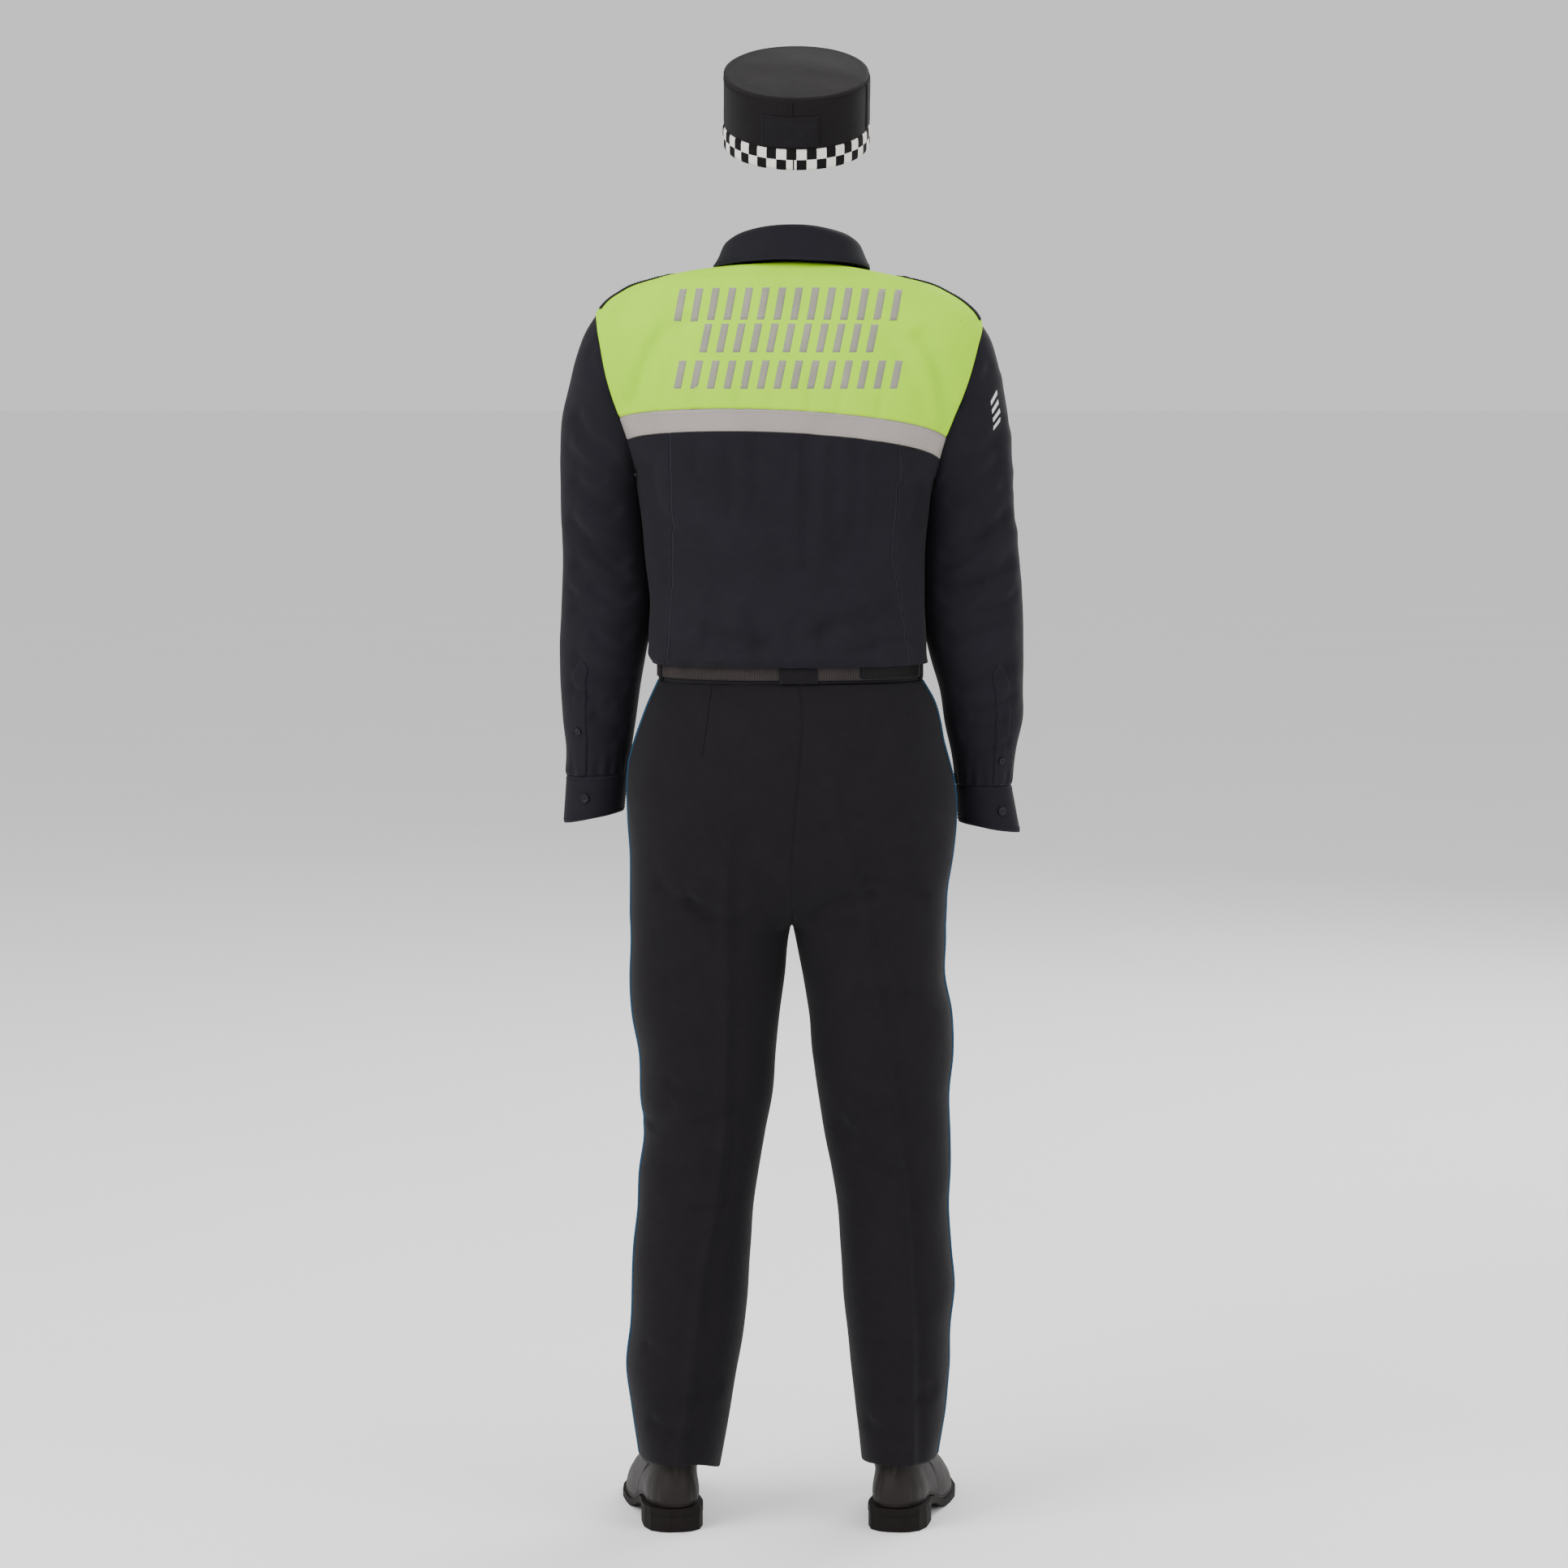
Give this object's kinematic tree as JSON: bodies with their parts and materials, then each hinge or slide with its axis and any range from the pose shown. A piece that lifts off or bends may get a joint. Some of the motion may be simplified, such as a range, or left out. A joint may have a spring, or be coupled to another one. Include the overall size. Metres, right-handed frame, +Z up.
{
  "type": "police uniform",
  "caption": "Worn-form police uniform: checked cap, shirt with hi-vis yoke and reflective band, belted trousers with side stripes and leather shoes, hollow inside.",
  "frame": {"origin": "middle of the wearer's shoulders, where the shirt rests on them, 1.549 m above the shoes' underside", "axes": "+Z up, +X towards the wearer's right, +Y towards the wearer's front; the picture looks along +Y"},
  "size_m": [0.573, 0.3591, 1.8293],
  "materials": {
    "navy_shirting": "matt plain-woven shirting, near black navy",
    "hi_vis_yellow": "fluorescent yellow-green woven cloth",
    "reflective_grey": "grey reflective tape with a soft sheen",
    "trouser_black": "near black twill with pressed creases",
    "stripe_blue": "steel blue braid",
    "cap_cloth": "dark napped cloth",
    "cap_check": "two-row woven check in black and off-white",
    "loop_patch": "fuzzy hook-and-loop patch",
    "belt_webbing": "ribbed black webbing",
    "buckle_steel": "dark brushed steel",
    "button_plastic": "dark satin buttons",
    "shoe_leather": "black polished leather",
    "shoe_rubber": "black rubber"
  },
  "bodies": {
    "root": {"cap_side": "cap_cloth", "cap_crown": "cap_cloth", "cap_outer_layer": "cap_cloth", "cap_peak": "cap_cloth", "cap_check_band": "cap_check", "cap_patch": "loop_patch", "back_centre": "navy_shirting", "back_side_L": "navy_shirting", "back_side_R": "navy_shirting", "front_L": "navy_shirting", "front_R": "navy_shirting", "front_placket": "navy_shirting", "sleeve_L": "navy_shirting", "sleeve_R": "navy_shirting", "sleeve_placket_L": "navy_shirting", "sleeve_placket_R": "navy_shirting", "cuff_L": "navy_shirting", "cuff_R": "navy_shirting", "epaulette_L": "navy_shirting", "epaulette_R": "navy_shirting", "collar_leaf": "navy_shirting", "collar_stand": "navy_shirting", "back_yoke": "hi_vis_yellow", "front_yoke_L": "hi_vis_yellow", "front_yoke_R": "hi_vis_yellow", "back_band": "reflective_grey", "front_band_L": "reflective_grey", "front_band_R": "reflective_grey", "trouser_back_L": "trouser_black", "trouser_back_R": "trouser_black", "trouser_front_L": "trouser_black", "trouser_front_R": "trouser_black", "waistband": "trouser_black", "belt_loop_back": "trouser_black", "belt_loop_back_L": "trouser_black", "belt_loop_back_R": "trouser_black", "belt_loop_front_L": "trouser_black", "belt_loop_front_R": "trouser_black", "side_stripe_L": "stripe_blue", "side_stripe_R": "stripe_blue", "belt": "belt_webbing", "buckle": "buckle_steel", "cuff_button_L": "button_plastic", "cuff_button_R": "button_plastic", "placket_button_L": "button_plastic", "placket_button_R": "button_plastic", "epaulette_button_L": "button_plastic", "epaulette_button_R": "button_plastic", "shirt_button_1": "button_plastic", "shirt_button_2": "button_plastic", "shirt_button_3": "button_plastic", "shirt_button_4": "button_plastic", "shirt_button_5": "button_plastic", "shoe_upper_L": "shoe_leather", "shoe_upper_R": "shoe_leather", "shoe_sole_L": "shoe_rubber", "shoe_sole_R": "shoe_rubber", "shoe_heel_L": "shoe_rubber", "shoe_heel_R": "shoe_rubber"}
  },
  "joints": []
}
